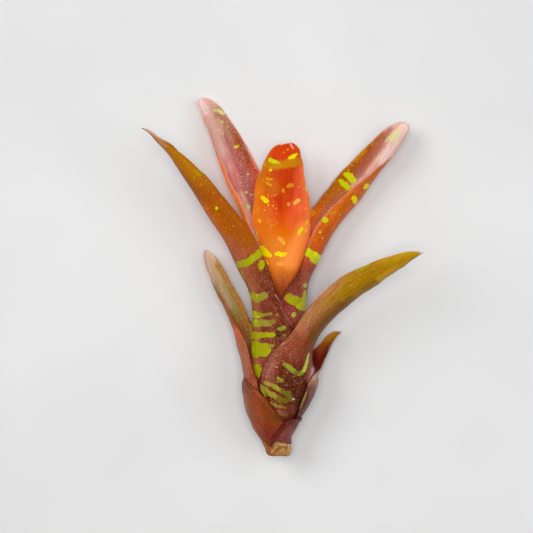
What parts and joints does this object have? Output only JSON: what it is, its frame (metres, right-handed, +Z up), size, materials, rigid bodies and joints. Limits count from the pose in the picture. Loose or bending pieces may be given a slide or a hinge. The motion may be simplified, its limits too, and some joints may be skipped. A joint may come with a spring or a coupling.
{
  "type": "okapi neoregelia shoot",
  "caption": "Cut bromeliad shoot lying on its back: banded strap leaves that clasp a short woody stem as a tube and spread out above it.",
  "frame": {"origin": "middle of the flat on the back of the leaf tube, where the shoot rests on the surface", "axes": "+Y from the cut end of the stem to the leaf tips, +X to the right of someone looking at the shoot's face, +Z up, away from the surface"},
  "size_m": [0.1391, 0.18, 0.0483],
  "materials": {
    "stem": "dry, rough, woody cut end",
    "bract_right": "satin, fine pale scurf",
    "bract_left": "satin, fine veins",
    "leaf_right_low": "satin, pale bloom outside",
    "leaf_left_low": "satin, silvery bloom inside",
    "leaf_right_front": "satin, green bands low down",
    "leaf_left_tall": "satin, green bands and scurf",
    "leaf_right_tall": "satin, silvery bloom inside",
    "leaf_back_left": "matt, scurfy inside",
    "leaf_centre": "satin, yellow spots"
  },
  "bodies": {
    "root": {"stem": "stem", "bract_right": "bract_right", "bract_left": "bract_left", "leaf_right_low": "leaf_right_low", "leaf_left_low": "leaf_left_low", "leaf_right_front": "leaf_right_front", "leaf_left_tall": "leaf_left_tall", "leaf_right_tall": "leaf_right_tall", "leaf_back_left": "leaf_back_left", "leaf_centre": "leaf_centre"}
  },
  "joints": []
}
